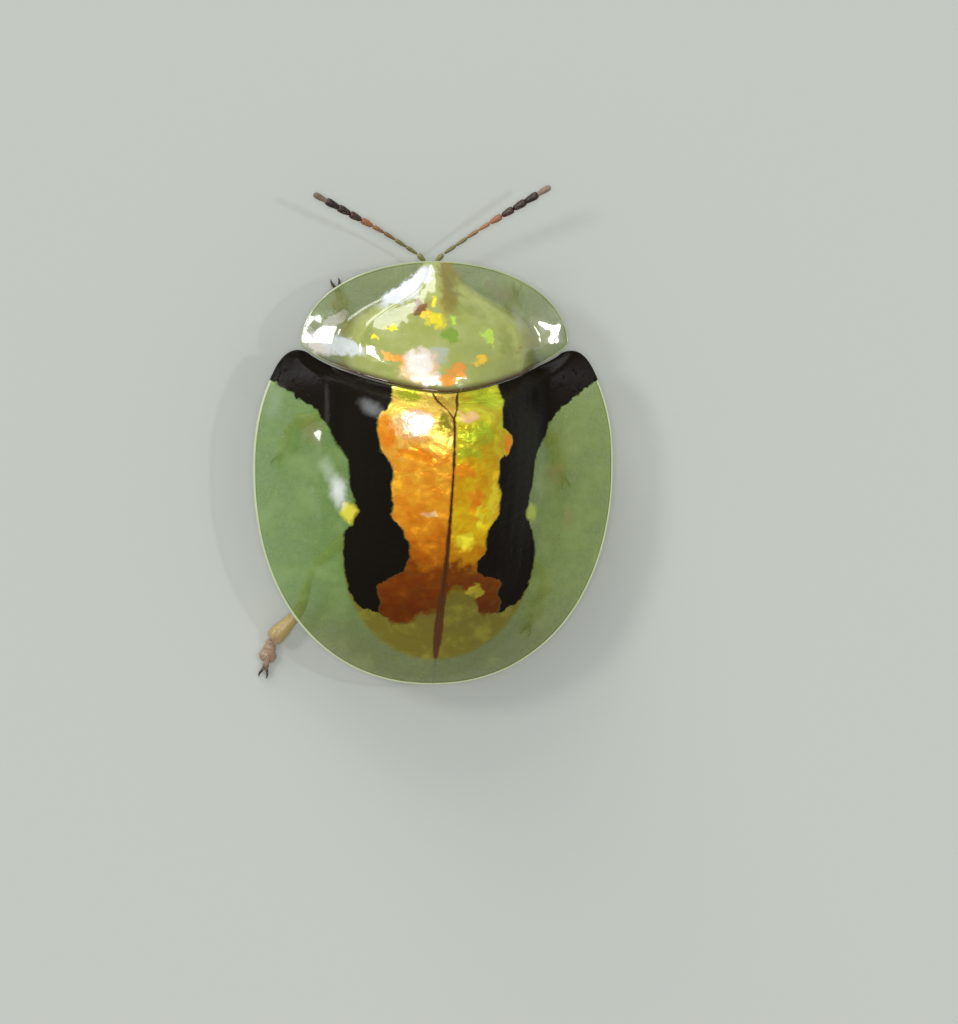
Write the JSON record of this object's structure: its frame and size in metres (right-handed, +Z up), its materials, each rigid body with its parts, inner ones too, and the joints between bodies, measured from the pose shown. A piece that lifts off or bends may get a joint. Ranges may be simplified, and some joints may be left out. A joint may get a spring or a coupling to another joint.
{
  "type": "tortoise beetle",
  "caption": "Life-size still model of a tortoise beetle with clear shell margins, a domed gold back with black bands, and spread antennae.",
  "frame": {"origin": "on the floor, on the midline, half way between the elytral apex and the antenna tips", "axes": "+Z up from the floor, +Y towards the head, +X to the beetle's right"},
  "size_m": [0.0072, 0.0098, 0.0033],
  "materials": {
    "clear_cuticle": "clear olive shell, glossy",
    "gold_cuticle": "gold disc with black bands and clear olive margins, glossy",
    "pale_green": "pale yellow green body under the shell, satin",
    "amber": "amber legs and head, satin",
    "brown": "red brown antennae, darker at the tips, satin",
    "black": "black eyes, glossy"
  },
  "bodies": {
    "root": {"pronotum": "clear_cuticle", "elytron_left": "gold_cuticle", "elytron_right": "gold_cuticle", "scutellum": "gold_cuticle", "head": "amber", "eye_left": "black", "eye_right": "black", "antenna_left": "brown", "antenna_right": "brown", "thorax": "pale_green", "abdomen": "pale_green", "foreleg_left": "amber", "foreleg_right": "amber", "middle_leg_left": "amber", "middle_leg_right": "amber", "hind_leg_left": "amber", "hind_leg_right": "amber"}
  },
  "joints": []
}
